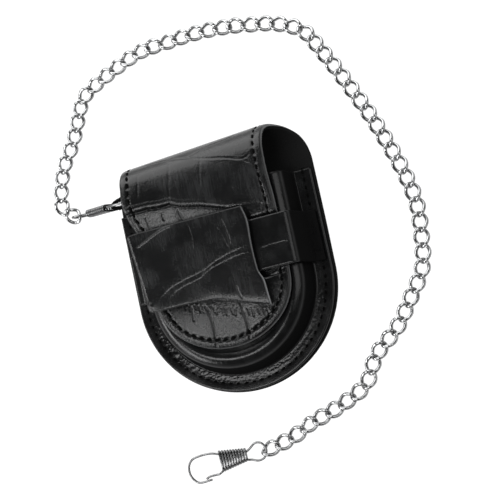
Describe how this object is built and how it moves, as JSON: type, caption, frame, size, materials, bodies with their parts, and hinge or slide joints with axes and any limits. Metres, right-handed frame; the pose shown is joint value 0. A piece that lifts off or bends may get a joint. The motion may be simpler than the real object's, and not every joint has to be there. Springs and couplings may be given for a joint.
{
  "type": "belt pouch for a pocket watch, with chain",
  "caption": "Round-bottomed leather belt pouch for a pocket watch, its flap held under a keeper panel, with a curb chain and spring hooks laid round it.",
  "frame": {"origin": "on the back face, at the centre of the round bottom", "axes": "+Z from the back to the front, up as it lies; +Y towards the fold at the top; +X across the pouch, away from the side with the hook"},
  "size_m": [0.1332, 0.1597, 0.0223],
  "materials": {
    "embossed_leather": "crocodile embossed, half gloss",
    "moulded_leather": "smooth wall and pebbled flange, satin",
    "thread_and_cord": "waxed thread",
    "bright_metal": "polished plating"
  },
  "bodies": {
    "root": {"back_and_flap": "embossed_leather", "pouch": "moulded_leather", "keeper_strap": "moulded_leather", "keeper_panel": "embossed_leather", "hook_cord_loop": "thread_and_cord", "pouch_hook": "bright_metal", "free_hook": "bright_metal", "chain": "bright_metal"}
  },
  "joints": []
}
